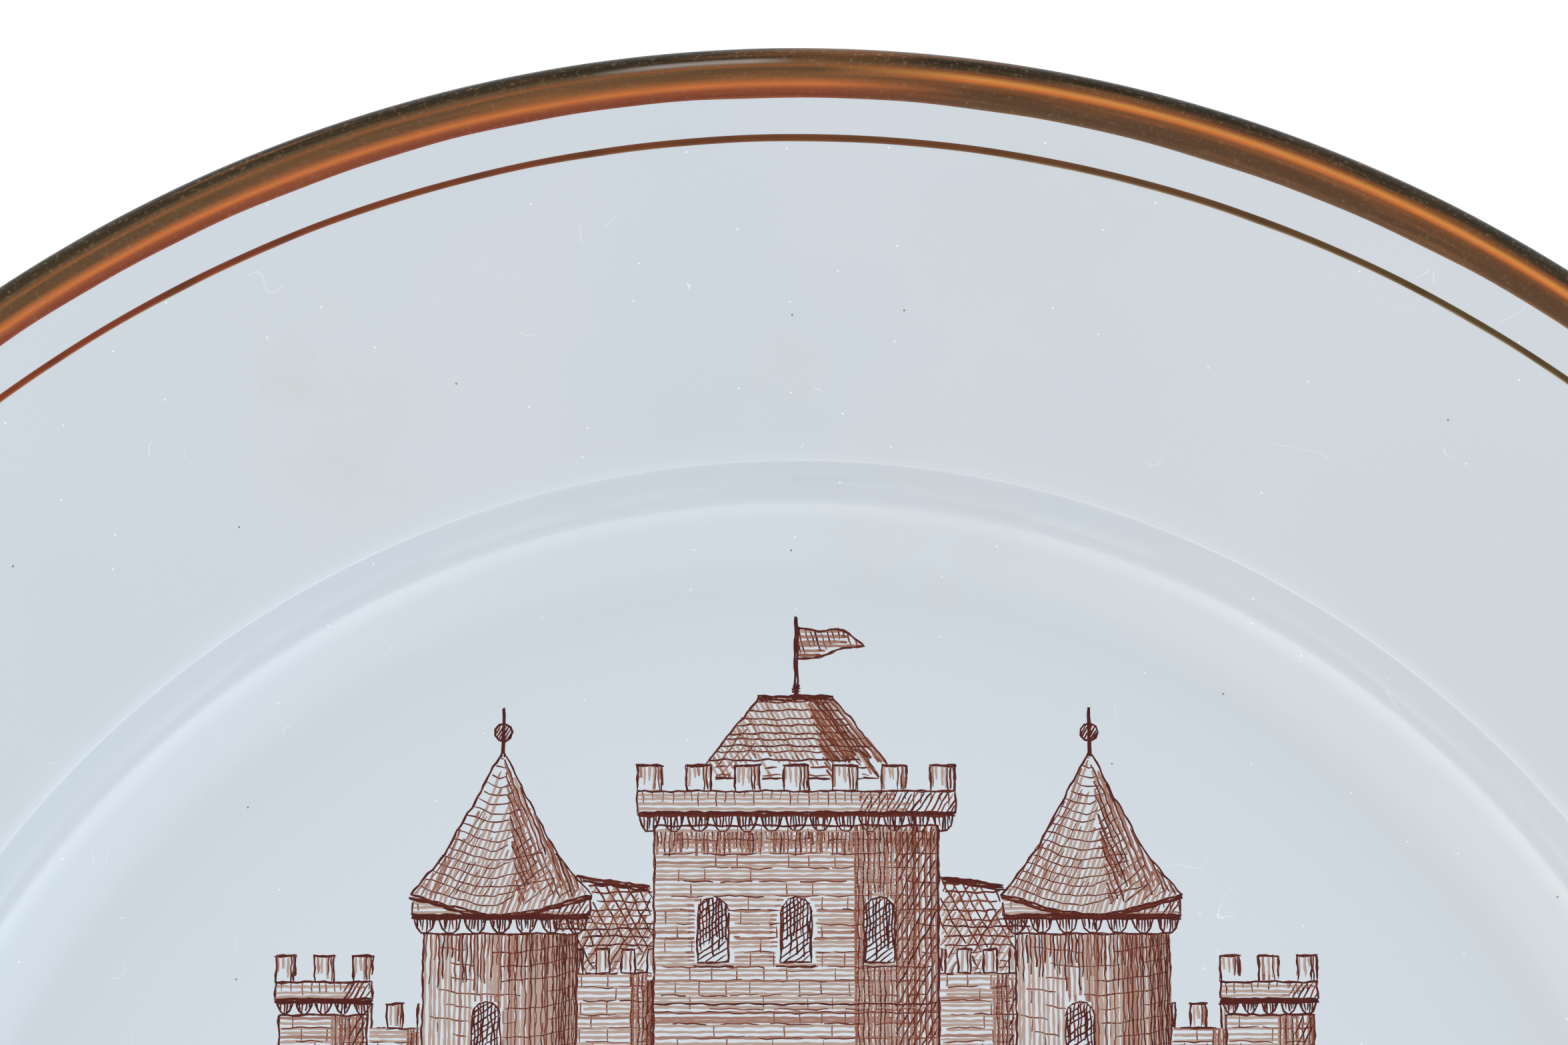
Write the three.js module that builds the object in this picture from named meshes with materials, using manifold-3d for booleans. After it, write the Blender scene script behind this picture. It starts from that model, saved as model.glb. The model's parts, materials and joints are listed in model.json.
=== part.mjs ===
// A souvenir plate: a glazed porcelain body with a wide rim and a sunken well, a gilded lip with a
// gold hairline inside it, and a sepia enamel drawing of a castle in the well.
// Millimetres, +Z up. The origin is on the plate's axis, at the height of the surface that the
// foot ring stands on. The top of the drawing is towards +Y.
import * as THREE from "three";
import { mergeVertices } from "three/addons/utils/BufferGeometryUtils.js";
import Module from "manifold-3d";

// ---- Driving dimensions: millimetres and degrees ----

// The whole plate, over the gilding
const PLATE_RADIUS = 125;
const PLATE_HEIGHT = 25;

// The rim and its rounded lip
const LIP_THICKNESS = 3.2;
const RIM_FLARE = 4; // the rim's slope at the lip, less the slope of its chord

// The shoulder, where the rim breaks down into the well, and the cavetto, the well's hollow wall
const SHOULDER_RADIUS = 88.1;
const SHOULDER_HEIGHT = 15.2;
const SHOULDER_ROUND = 0.9;
const CAVETTO_SLOPE = 80; // at its top; it flattens to nothing at the floor
const FLOOR_HEIGHT = 5.6;
const BODY_THICKNESS = 4.2; // of the rim at the shoulder

// The foot ring and the base inside it
const FOOT_INSET = 2.2; // middle of the land, inside the edge of the well's flat floor
const FOOT_LAND = 2.2; // width of the ground face that it stands on
const FOOT_FLARE = 0.9; // how much wider each side of the ring is at its root
const FOOT_RECESS = 1.9; // height of the base inside the ring
const FOOT_HEIGHT = 2.3; // height of the ring on its outside

// The fired decoration
const GILDING = 0.1; // thickness of the gold
const BAND_WIDTH = 4.9; // of the gold band seen from above, in from the plate's edge
const BAND_WRAP = 30; // how far the gold goes down the outside of the lip, degrees of its round
const HAIRLINE_GAP = 3.3; // bare glaze between the band and the hairline
const HAIRLINE_WIDTH = 0.6;
const ENAMEL = 0.1; // thickness of the drawing
const DRAWING_MARGIN = 0.6; // from the drawing's tallest spire to the edge of the flat floor

// Fineness of the faceted shapes
const TURNS = 84; // facets around the axis
const LIP_STEP = 30; // degrees of the lip's round per facet
const RIM_STEPS = 4;
const SHOULDER_STEPS = 3;
const CAVETTO_STEPS = 7;
const UNDERSIDE_STEPS = 5;

// ---- Section through the plate: x is the radius, y the height ----

const bodyRadius = PLATE_RADIUS - GILDING;
const bodyHeight = PLATE_HEIGHT - GILDING;
const lipRound = LIP_THICKNESS / 2;
const lipCentre = new THREE.Vector2(bodyRadius - lipRound, bodyHeight - lipRound);
const shoulder = new THREE.Vector2(SHOULDER_RADIUS, SHOULDER_HEIGHT);

const radians = THREE.MathUtils.degToRad;

// The point at a distance from a centre, in a direction given in degrees up from the radius
function around(centre, distance, degrees) {
  const angle = radians(degrees);
  return new THREE.Vector2(
    centre.x + distance * Math.cos(angle),
    centre.y + distance * Math.sin(angle),
  );
}

// The top of the rim is a shallow parabola from the shoulder to the round of the lip
const chord = lipCentre.clone().sub(shoulder);
const lipSlope = THREE.MathUtils.radToDeg(chord.angle()) + RIM_FLARE;
const rimEnd = around(lipCentre, lipRound, 90 + lipSlope);
const rimRun = rimEnd.x - shoulder.x;
const rimRise = rimEnd.y - shoulder.y;
const slopeAtShoulder = (2 * rimRise) / rimRun - Math.tan(radians(lipSlope));

function onRim(radius) {
  const run = radius - shoulder.x;
  const curl = (rimRise - slopeAtShoulder * rimRun) / rimRun ** 2;
  return new THREE.Vector2(radius, shoulder.y + slopeAtShoulder * run + curl * run ** 2);
}

// The cavetto is an arc that leaves the shoulder steeply and runs out level on the floor
const cavettoDrop = SHOULDER_HEIGHT - FLOOR_HEIGHT;
const cavettoRadius = cavettoDrop / (1 - Math.cos(radians(CAVETTO_SLOPE)));
const cavettoRun = cavettoRadius * Math.sin(radians(CAVETTO_SLOPE));
const floorRadius = SHOULDER_RADIUS - cavettoRun;
const cavettoCentre = new THREE.Vector2(floorRadius, FLOOR_HEIGHT + cavettoRadius);

// Radii of the decoration
const bandInner = PLATE_RADIUS - BAND_WIDTH;
const hairlineOuter = bandInner - HAIRLINE_GAP;
const hairlineInner = hairlineOuter - HAIRLINE_WIDTH;

// Evenly spaced values from one number to another, with both ends
function spread(from, to, steps) {
  return Array.from({ length: steps + 1 }, (_, i) => from + ((to - from) * i) / steps);
}

// The stretches of the section that more than one piece shares
function lipArc(from, to) {
  const steps = Math.max(1, Math.round(Math.abs(to - from) / LIP_STEP));
  return spread(from, to, steps).map((angle) => around(lipCentre, lipRound, angle));
}

function rimStretch(from, to, steps) {
  return spread(from, to, steps).map(onRim);
}

const underBand = [
  ...lipArc(-BAND_WRAP, 90),
  rimEnd,
  ...rimStretch((rimEnd.x + bandInner) / 2, bandInner, 1),
];
const underHairline = rimStretch(hairlineOuter, hairlineInner, 1);

// The round of the shoulder is a short curve that leaves the rim and joins the cavetto
const roundedOff = THREE.MathUtils.radToDeg(SHOULDER_ROUND / cavettoRadius);
const cavettoTop = CAVETTO_SLOPE - 90 - roundedOff; // where its arc starts, as an angle

function shoulderRound() {
  const start = onRim(SHOULDER_RADIUS + SHOULDER_ROUND);
  const end = around(cavettoCentre, cavettoRadius, cavettoTop);
  return new THREE.QuadraticBezierCurve(start, shoulder, end).getPoints(SHOULDER_STEPS);
}

function cavetto() {
  return spread(cavettoTop, -90, CAVETTO_STEPS)
    .slice(1)
    .map((angle) => around(cavettoCentre, cavettoRadius, angle));
}

// The underside keeps the body's thickness under the shoulder, then curves down to the foot ring
const footRadius = floorRadius - FOOT_INSET;
const footOuter = footRadius + FOOT_LAND / 2;
const footInner = footRadius - FOOT_LAND / 2;

function underside() {
  const rimSlope = THREE.MathUtils.radToDeg(Math.atan(slopeAtShoulder));
  const middle = (CAVETTO_SLOPE + rimSlope) / 2;
  const half = (CAVETTO_SLOPE - rimSlope) / 2;
  const corner = around(shoulder, BODY_THICKNESS / Math.cos(radians(half)), middle - 90);
  const root = new THREE.Vector2(footOuter + FOOT_FLARE, FOOT_HEIGHT);
  const drop = corner.y - root.y;
  const bend = new THREE.Vector2(corner.x - drop / Math.tan(radians(CAVETTO_SLOPE)), root.y);
  return [
    new THREE.Vector2(0, FOOT_RECESS),
    new THREE.Vector2(footInner - FOOT_FLARE, FOOT_RECESS),
    new THREE.Vector2(footInner, 0),
    new THREE.Vector2(footOuter, 0),
    ...new THREE.QuadraticBezierCurve(root, bend, corner).getPoints(UNDERSIDE_STEPS),
    ...lipArc(lipSlope - 90, -BAND_WRAP).slice(0, -1),
  ];
}

const bodySection = [
  ...underside(),
  ...underBand,
  ...underHairline,
  ...rimStretch(hairlineInner, SHOULDER_RADIUS + SHOULDER_ROUND, RIM_STEPS).slice(1, -1),
  ...shoulderRound(),
  ...cavetto(),
  new THREE.Vector2(0, FLOOR_HEIGHT),
];

// The section of a layer of even thickness fired onto a stretch of the body's surface
function layerSection(contact, thickness) {
  const outside = contact.map((point, i) => {
    const before = contact[Math.max(i - 1, 0)];
    const after = contact[Math.min(i + 1, contact.length - 1)];
    const along = after.clone().sub(before).normalize();
    return new THREE.Vector2(point.x + along.y * thickness, point.y - along.x * thickness);
  });
  return [...contact.slice().reverse(), ...outside, contact[contact.length - 1]];
}

// ---- Solids ----

// A section turned round the plate's axis
function turned(section) {
  return new THREE.LatheGeometry(section, TURNS).rotateX(Math.PI / 2);
}

// The drawing's masses, at the size they are drawn: x to the right and y up from the plate's axis
function walls(left, right, foot, top) {
  return [[left, foot], [right, foot], [right, top], [left, top]];
}

function tower(middle, halfWidth, foot, eaves, apex, overhang) {
  const left = middle - halfWidth;
  const right = middle + halfWidth;
  return [
    [left, foot], [right, foot], [right, eaves], [right + overhang, eaves],
    [middle, apex], [left - overhang, eaves], [left, eaves],
  ];
}

function spire(middle, halfWidth, foot, tip) {
  return [[middle - halfWidth, foot], [middle + halfWidth, foot], [middle, tip]];
}

function mound(halfWidth, top, bottom) {
  const curve = new THREE.SplineCurve([
    new THREE.Vector2(-halfWidth, top),
    new THREE.Vector2(-halfWidth * 0.62, (top + 2 * bottom) / 3),
    new THREE.Vector2(0, bottom),
    new THREE.Vector2(halfWidth * 0.62, (top + 2 * bottom) / 3),
    new THREE.Vector2(halfWidth, top),
  ]);
  return curve.getPoints(16).map((point) => [point.x, point.y]);
}

// The same outline on the right and mirrored on the left
function bothSides(outline) {
  return [outline, outline.map(([x, y]) => [-x, y])];
}

// An invented castle: a square keep between two round towers, on a wall with end turrets
const CASTLE = [
  walls(-13, 13, -24, 56), // the keep
  walls(-14.6, 14.6, 54, 61.6), // its battlements
  [[-9.4, 60], [9.4, 60], [3.4, 68.4], [-3.4, 68.4]], // its roof
  spire(0, 0.9, 66, 76), // its flagstaff
  [[0, 71.2], [6.6, 72.4], [0, 74.8]], // its pennant
  ...bothSides(tower(27, 7, -24, 49.4, 63, 1.4)), // the round towers
  ...bothSides(spire(27, 0.8, 60, 67)), // their finials
  ...bothSides(walls(12, 22, -24, 44.6)), // the inner walls
  ...bothSides(walls(33, 40, -24, 39.6)), // the outer walls
  ...bothSides(walls(38.6, 47.4, -24, 44.4)), // the end turrets
  mound(61, -22, -53),
];

// The drawing is scaled to the flat floor, so that its farthest point keeps its margin
const reach = Math.max(...CASTLE.flat().map(([x, y]) => Math.hypot(x, y)));
const drawingScale = (floorRadius - DRAWING_MARGIN) / reach;

const wasm = await Module();
wasm.setup();

// A closed geometry as a solid that can be joined to others
function solidOf(geometry) {
  const bare = geometry.index ? geometry.toNonIndexed() : geometry.clone();
  bare.deleteAttribute("normal");
  bare.deleteAttribute("uv");
  const merged = mergeVertices(bare, 1e-4);
  return new wasm.Manifold(
    new wasm.Mesh({
      numProp: 3,
      vertProperties: merged.attributes.position.array,
      triVerts: new Uint32Array(merged.index.array),
    }),
  );
}

function geometryOf(solid) {
  const mesh = solid.getMesh();
  return new THREE.BufferGeometry()
    .setAttribute("position", new THREE.BufferAttribute(mesh.vertProperties, 3))
    .setIndex(new THREE.BufferAttribute(mesh.triVerts, 1));
}

// The enamel is one thin layer, flat on the floor, as wide as all the masses together
function drawing() {
  const layers = CASTLE.map((outline) => {
    const points = outline.map(([x, y]) => new THREE.Vector2(x * drawingScale, y * drawingScale));
    const layer = new THREE.ExtrudeGeometry(new THREE.Shape(points), {
      depth: ENAMEL,
      bevelEnabled: false,
    });
    return solidOf(layer.translate(0, 0, FLOOR_HEIGHT));
  });
  return geometryOf(layers.reduce((joined, layer) => joined.add(layer)));
}

// ---- The plate ----

const plate = new THREE.Group();

function addPiece(name, geometry, color, roughness, metalness) {
  geometry.computeVertexNormals();
  const material = new THREE.MeshStandardMaterial({ color, roughness, metalness });
  const piece = new THREE.Mesh(geometry, material);
  piece.name = name;
  plate.add(piece);
}

addPiece("plate_body", turned(bodySection), 0xe3eaf0, 0.12, 0);
addPiece("gilt_edge_band", turned(layerSection(underBand, GILDING)), 0xa9743f, 0.25, 1);
addPiece("gilt_hairline", turned(layerSection(underHairline, GILDING)), 0x8a5a33, 0.3, 1);
addPiece("castle_drawing", drawing(), 0x7d4638, 0.35, 0);

export default plate;
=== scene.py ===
# %% [markdown]
# # A souvenir plate
#
# A round porcelain plate with a gilded lip, a thin gold line inside it, and a castle drawn with a
# pen in red-brown enamel on the floor of the well. Porcelain painters call that line work sepia.
#
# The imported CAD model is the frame: it fixes where everything is and how big it may be. This
# script gives each piece its fine shape and its finish. All sizes below are in millimetres, as a
# potter would give them, and become metres when a mesh is made.

import json
import math
import random

import bpy
import numpy as np
from mathutils import Matrix, Vector

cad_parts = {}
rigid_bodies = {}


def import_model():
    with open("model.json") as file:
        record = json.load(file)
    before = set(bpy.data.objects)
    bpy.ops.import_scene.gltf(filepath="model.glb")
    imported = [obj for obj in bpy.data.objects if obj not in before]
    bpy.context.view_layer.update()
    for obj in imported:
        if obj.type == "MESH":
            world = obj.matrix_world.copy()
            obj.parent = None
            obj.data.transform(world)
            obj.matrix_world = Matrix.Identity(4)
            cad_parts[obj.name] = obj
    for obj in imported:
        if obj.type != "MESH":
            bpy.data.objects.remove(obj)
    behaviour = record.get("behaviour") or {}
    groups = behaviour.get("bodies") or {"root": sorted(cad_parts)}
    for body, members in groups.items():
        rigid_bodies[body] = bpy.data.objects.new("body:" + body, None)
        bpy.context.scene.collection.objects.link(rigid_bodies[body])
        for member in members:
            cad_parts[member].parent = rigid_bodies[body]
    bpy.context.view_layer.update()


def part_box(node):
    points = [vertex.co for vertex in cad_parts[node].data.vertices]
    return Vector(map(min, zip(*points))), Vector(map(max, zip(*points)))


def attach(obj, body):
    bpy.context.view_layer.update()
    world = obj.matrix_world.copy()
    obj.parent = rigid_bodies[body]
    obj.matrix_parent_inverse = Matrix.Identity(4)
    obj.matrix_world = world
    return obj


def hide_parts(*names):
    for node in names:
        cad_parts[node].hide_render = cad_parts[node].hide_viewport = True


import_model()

MM = 0.001
scene = bpy.context.scene
plate_low, plate_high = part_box("plate_body")
print("plate, mm:", [round(size / MM, 2) for size in plate_high - plate_low])

# %% [markdown]
# ## The camera
#
# The plate is seen nearly from above, from close by, so that the far side of the lip is cut by
# nothing and the near half lies outside the frame. A long lens keeps the circles round. The
# camera leans a little away from the plate's axis, towards the top of the drawing. Its rotation
# is built from three directions, which keeps the top of the drawing up.

# %% Camera
EYE = Vector((0.0, -9.2, 401.0)) * MM
LOOKS_AT = Vector((-1.07, 80.0, 25.0)) * MM

forward = (LOOKS_AT - EYE).normalized()
sideways = forward.cross(Vector((0, 1, 0))).normalized()
upward = sideways.cross(forward)

camera = bpy.data.objects.new("camera", bpy.data.cameras.new("camera"))
camera.data.lens = 100
camera.data.sensor_width = 36
camera.data.clip_start = 0.01
camera.matrix_world = (
    Matrix.Translation(EYE) @ Matrix((sideways, upward, -forward)).transposed().to_4x4()
)
scene.collection.objects.link(camera)
scene.camera = camera
print("camera leans", round(math.degrees(forward.angle(Vector((0, 0, -1)))), 2), "degrees")

# %% [markdown]
# ## Two helpers for every material
#
# Paint and glaze colours are written as sRGB hex values, the numbers a colour picker shows.
# Blender's shaders count light itself, so one function turns a hex value into linear colour.
# Another adds a node to a tree, sets its values and links its inputs. Every material below is
# built with these two. Where a node is linked to the next, the first of its outputs that is in
# use is meant, so a chain of nodes reads like a recipe.

# %% Colour and node helpers
def linear(hex_code, lift=1.0):
    """A linear colour with alpha from an sRGB hex value, made lighter or darker by lift."""
    channels = [int(hex_code[i : i + 2], 16) / 255 for i in (1, 3, 5)]
    curve = [c / 12.92 if c <= 0.04045 else ((c + 0.055) / 1.055) ** 2.4 for c in channels]
    return [min(1.0, c * lift) for c in curve] + [1.0]


def node(tree, kind, links=None, **settings):
    """Adds a node. Links go to its inputs: a value, a socket or a node. Settings are its own."""
    new = tree.nodes.new("ShaderNode" + kind)
    for name, value in settings.items():
        setattr(new, name, value)
    for name, value in (links or {}).items():
        if isinstance(value, bpy.types.Node):
            value = next(socket for socket in value.outputs if socket.enabled)
        if isinstance(value, bpy.types.NodeSocket):
            tree.links.new(value, new.inputs[name])
        else:
            new.inputs[name].default_value = value
    return new


def finish_of(name, **sockets):
    """A new material with one Principled shader, whose sockets are set to constant values."""
    material = bpy.data.materials.new(name)
    material.use_nodes = True
    tree = material.node_tree
    tree.nodes.clear()
    shader = node(tree, "BsdfPrincipled")
    for socket, value in sockets.items():
        shader.inputs[socket.replace("_", " ").title().replace("Ior", "IOR")].default_value = value
    node(tree, "OutputMaterial", {"Surface": shader})
    return material, tree, shader


print("a warm grey, linear:", [round(c, 3) for c in linear("#C8C0B4")])

# %% [markdown]
# ## Light
#
# Glossy white china shows its shape only by what it mirrors. In a studio it stands in a tent of
# white cloth that is lit on all sides and left darker straight above. The flat floor then mirrors
# the darker opening, the steep wall of the well mirrors the bright sides, and the step between
# them draws the edge of the floor. Here a world of plain gradients does that: brightness depends
# on how far from straight up a direction points, and the two sides differ a little in warmth.

# %% World
world = bpy.data.worlds.new("light_tent")
scene.world = world
world.use_nodes = True
sky = world.node_tree
sky.nodes.clear()
aim = node(sky, "TexCoord").outputs["Generated"]
direction = node(sky, "SeparateXYZ", {0: aim})
rightward = node(
    sky,
    "MapRange",
    {"Value": direction.outputs["X"], "From Min": -0.7, "From Max": 0.7},
    interpolation_type="SMOOTHSTEP",
)
tints = node(sky, "ValToRGB", {"Fac": rightward})
tints.color_ramp.elements[0].color = linear("#F9F5EE")
tints.color_ramp.elements[1].color = linear("#F4FAFF")
print("light tent: warm on the left, cool on the right")

# %% [markdown]
# The brightness is built in layers. Going up from the horizon it falls from the bright sides to
# the middle of the cloth and stays there overhead. The left and right walls get a little more
# than the front and back. Then the opening is dimmed, a soft round patch near straight up.

# %% Brightness of the world
OPENING = 0.72  # radiance in the dark place above
OPENING_LEANS = 11.5  # degrees from straight up, towards the foot of the drawing
OPENING_EDGE = 20  # degrees from its middle where the opening starts
OPENING_CORE = 13  # degrees from its middle where it is as dark as it gets
OVERHEAD = 1.12  # radiance round the opening
MIDDLE_SKY = 1.08  # radiance half way up
SIDES = 2.3  # radiance of the low sides

low_light = node(
    sky,
    "MapRange",
    {
        "Value": direction.outputs["Z"],
        "From Min": 0.15,
        "From Max": 0.45,
        "To Min": SIDES,
        "To Max": MIDDLE_SKY,
    },
    interpolation_type="SMOOTHSTEP",
)
cloth = node(
    sky,
    "MapRange",
    {
        "Value": direction.outputs["Z"],
        "From Min": 0.5,
        "From Max": 0.75,
        "To Min": low_light,
        "To Max": OVERHEAD,
    },
    interpolation_type="SMOOTHSTEP",
)
across = node(sky, "Math", {0: direction.outputs["X"], 1: 2.0}, operation="POWER")
walls = node(
    sky,
    "MapRange",
    {"Value": across, "From Min": 0.02, "From Max": 0.24, "To Min": 0.8, "To Max": 1.13},
    interpolation_type="SMOOTHSTEP",
)
brightness = node(sky, "Math", {0: cloth, 1: walls}, operation="MULTIPLY")
lean = math.radians(OPENING_LEANS)
opening_lies = (0, -math.sin(lean), math.cos(lean))
towards_opening = node(
    sky, "VectorMath", {0: aim, 1: opening_lies}, operation="DOT_PRODUCT"
)
dimming = node(
    sky,
    "MapRange",
    {
        "Value": towards_opening,
        "From Min": math.cos(math.radians(OPENING_EDGE)),
        "From Max": math.cos(math.radians(OPENING_CORE)),
        "To Min": 1.0,
        "To Max": OPENING / OVERHEAD,
    },
    interpolation_type="SMOOTHSTEP",
)
strength = node(sky, "Math", {0: brightness, 1: dimming}, operation="MULTIPLY")
tent = node(sky, "Background", {"Color": tints, "Strength": strength})
node(sky, "OutputWorld", {"Surface": tent})
scene.view_settings.view_transform = "Standard"
scene.view_settings.look = "None"
print("light tent: sides", SIDES, "middle", MIDDLE_SKY, "overhead", OVERHEAD)

# %% [markdown]
# ## The floor under the plate
#
# The plate stands on a pale sweep of paper. The paper is a flat sheet, a lot wider than the
# plate, that glows a little itself, as a sheet lit from below does, so that it stays white
# right up to the lip while the foot of the plate still has a soft shadow under it.

# %% Stage
STAGE_RADIUS = 2500  # mm

paper, _, _ = finish_of(
    "matt_white_paper",
    base_color=linear("#F4F5F6"),
    roughness=0.95,
    emission_color=linear("#F7FBFF"),
    emission_strength=0.2,
)
corners = [
    (x * STAGE_RADIUS * MM, y * STAGE_RADIUS * MM, 0.0)
    for x, y in ((-1, -1), (1, -1), (1, 1), (-1, 1))
]
sheet = bpy.data.meshes.new("paper_sweep")
sheet.from_pydata(corners, [], [(0, 1, 2, 3)])
sheet.materials.append(paper)
stage = bpy.data.objects.new("paper_sweep", sheet)
scene.collection.objects.link(stage)
print("paper, mm across:", 2 * STAGE_RADIUS)

# %% [markdown]
# ## The plate's section
#
# A plate like this is pressed on a spinning mould: a profile tool shapes one side while the
# plaster shapes the other. Its whole form is therefore one section turned round an axis. The
# section is laid out from the sizes a mould maker would measure: the height and slope of the rim,
# the round of the lip, the shoulder where the rim drops into the well, the arc of the cavetto,
# the flat floor, and the foot ring underneath.

# %% Sizes of the section, in mm
LIP_ROUND = 1.6
LIP_RADIUS = 124.9 - LIP_ROUND
LIP_HEIGHT = 24.9 - LIP_ROUND
SHOULDER = Vector((88.1, 15.2))
SHOULDER_ROUND = 0.9
RIM_FLARE = 4  # degrees that the rim steepens towards the lip
CAVETTO_SLOPE = 80
FLOOR = 5.6
THICKNESS = 4.2
FOOT_LAND = 2.2
FOOT_INSET = 2.2
FOOT_RECESS = 1.9
FOOT_ROOT = 2.3  # height at which the foot ring leaves the wall
FOOT_FLARE = 0.9  # how much wider the ring is there than at its land


def around(centre, distance, degrees):
    """The point at a distance from a centre, in a direction given in degrees above level."""
    angle = math.radians(degrees)
    return Vector((centre[0] + distance * math.cos(angle), centre[1] + distance * math.sin(angle)))


lip_centre = Vector((LIP_RADIUS, LIP_HEIGHT))
to_lip = lip_centre - SHOULDER
lip_slope = math.degrees(math.atan2(to_lip.y, to_lip.x)) + RIM_FLARE
rim_end = around(lip_centre, LIP_ROUND, 90 + lip_slope)
rim_run, rim_rise = rim_end - SHOULDER
slope_at_shoulder = 2 * rim_rise / rim_run - math.tan(math.radians(lip_slope))
rim_curl = (rim_rise - slope_at_shoulder * rim_run) / rim_run**2


def rim_point(radius):
    """The point on top of the rim at a radius: a shallow parabola from shoulder to lip."""
    run = radius - SHOULDER.x
    return Vector((radius, SHOULDER.y + slope_at_shoulder * run + rim_curl * run**2))


cavetto_radius = (SHOULDER.y - FLOOR) / (1 - math.cos(math.radians(CAVETTO_SLOPE)))
floor_radius = SHOULDER.x - cavetto_radius * math.sin(math.radians(CAVETTO_SLOPE))
cavetto_centre = Vector((floor_radius, FLOOR + cavetto_radius))
print("lip slope", round(lip_slope, 2), "cavetto arc", round(cavetto_radius, 2))
print("flat floor radius", round(floor_radius, 2))

# %% [markdown]
# Sharp corners in clay chip and in a render look cut from card, so every corner of the section
# gets a small round. A helper swaps a corner for a short curve, and the arcs are sampled closely
# enough that no facet shows in the highlight that runs round the lip.

# %% Draw the section
def bezier(start, bend, end, steps):
    """Points on a quadratic curve, with both ends."""
    shares = [i / steps for i in range(steps + 1)]
    return [(1 - t) ** 2 * start + 2 * t * (1 - t) * bend + t**2 * end for t in shares]


def arc(centre, distance, start, end, steps):
    """Points on an arc between two directions in degrees, with both ends."""
    return [around(centre, distance, start + (end - start) * i / steps) for i in range(steps + 1)]


def eased(corners, cut, steps=4):
    """A line through corners, each rounded over a length of cut on both sides."""
    line = [corners[0]]
    for before, corner, after in zip(corners, corners[1:], corners[2:]):
        start = corner + (before - corner).normalized() * cut
        end = corner + (after - corner).normalized() * cut
        line += bezier(start, corner, end, steps)
    return line + [corners[-1]]


foot_radius = floor_radius - FOOT_INSET
foot_inner = foot_radius - FOOT_LAND / 2
foot_outer = foot_radius + FOOT_LAND / 2
rim_slope = math.degrees(math.atan(slope_at_shoulder))
half_turn = (CAVETTO_SLOPE - rim_slope) / 2
under_corner = around(
    SHOULDER, THICKNESS / math.cos(math.radians(half_turn)), (CAVETTO_SLOPE + rim_slope) / 2 - 90
)
root = Vector((foot_outer + FOOT_FLARE, FOOT_ROOT))
wall_foot = Vector(
    (under_corner.x - (under_corner.y - root.y) / math.tan(math.radians(CAVETTO_SLOPE)), root.y)
)
under_lip = around(lip_centre, LIP_ROUND, lip_slope - 90)

foot = eased(
    [
        Vector((foot_inner - 3.0, FOOT_RECESS)),
        Vector((foot_inner - FOOT_FLARE, FOOT_RECESS)),
        Vector((foot_inner, 0.0)),
        Vector((foot_outer, 0.0)),
        root,
    ],
    cut=0.32,
)
wall = bezier(root, wall_foot, under_corner, 18)
turn_out = bezier(wall[-3], under_corner, under_corner + (under_lip - under_corner) * 0.12, 8)
rim_under = [turn_out[-1].lerp(under_lip, i / 14) for i in range(1, 14)]
lip = arc(lip_centre, LIP_ROUND, lip_slope - 90, 90 + lip_slope, 40)
rim_start = SHOULDER.x + SHOULDER_ROUND
rim_top = [rim_point(rim_end.x + (rim_start - rim_end.x) * i / 40) for i in range(1, 40)]
arc_start = CAVETTO_SLOPE - 90 - math.degrees(SHOULDER_ROUND / cavetto_radius)
arc_top = around(cavetto_centre, cavetto_radius, arc_start)
shoulder = bezier(rim_point(rim_start), SHOULDER, arc_top, 8)
cavetto = arc(cavetto_centre, cavetto_radius, arc_start, -90, 36)[1:]
floor_in = [Vector((floor_radius * share, FLOOR)) for share in (0.98, 0.9, 0.7, 0.45, 0.2, 0.0)]
under = [Vector((foot_inner * share, FOOT_RECESS)) for share in (0.0, 0.3, 0.6, 0.85)]
plate_section = [
    *under, *foot, *wall[1:-3], *turn_out, *rim_under, *lip, *rim_top, *shoulder, *cavetto,
    *floor_in,
]
print("points in the section:", len(plate_section))

# %% [markdown]
# ## Turning a section into a mesh
#
# A lathe: each point of the section becomes a ring of vertices, and neighbouring rings are
# joined with four-sided faces. A point on the axis becomes a single vertex with a fan of
# triangles. One section can also change as it goes round, which the hand-painted gold needs, so
# the helper takes a function of the angle.

# %% Lathe helper
def lathe(name, section_at, turns, closed):
    """Turns a section of (radius, height) points in mm, given for each angle, round the axis."""
    rings = [section_at(2 * math.pi * i / turns) for i in range(turns)]
    count = len(rings[0])
    vertices = []
    index = {}
    for turn, ring in enumerate(rings):
        angle = 2 * math.pi * turn / turns
        for step, (radius, height) in enumerate(ring):
            if radius == 0 and turn > 0:
                index[turn, step] = index[0, step]
                continue
            index[turn, step] = len(vertices)
            vertices.append(
                (radius * math.cos(angle) * MM, radius * math.sin(angle) * MM, height * MM)
            )
    faces = []
    for turn in range(turns):
        after = (turn + 1) % turns
        for step in range(count if closed else count - 1):
            up = (step + 1) % count
            ring = [index[turn, step], index[after, step], index[after, up], index[turn, up]]
            faces.append(list(dict.fromkeys(ring)))
    mesh = bpy.data.meshes.new(name)
    mesh.from_pydata(vertices, [], faces)
    mesh.update()
    mesh.shade_smooth()
    piece = bpy.data.objects.new(name, mesh)
    scene.collection.objects.link(piece)
    return piece


body = lathe("porcelain_body", lambda angle: plate_section, turns=360, closed=False)
print("porcelain_body:", len(body.data.polygons), "faces")

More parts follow.
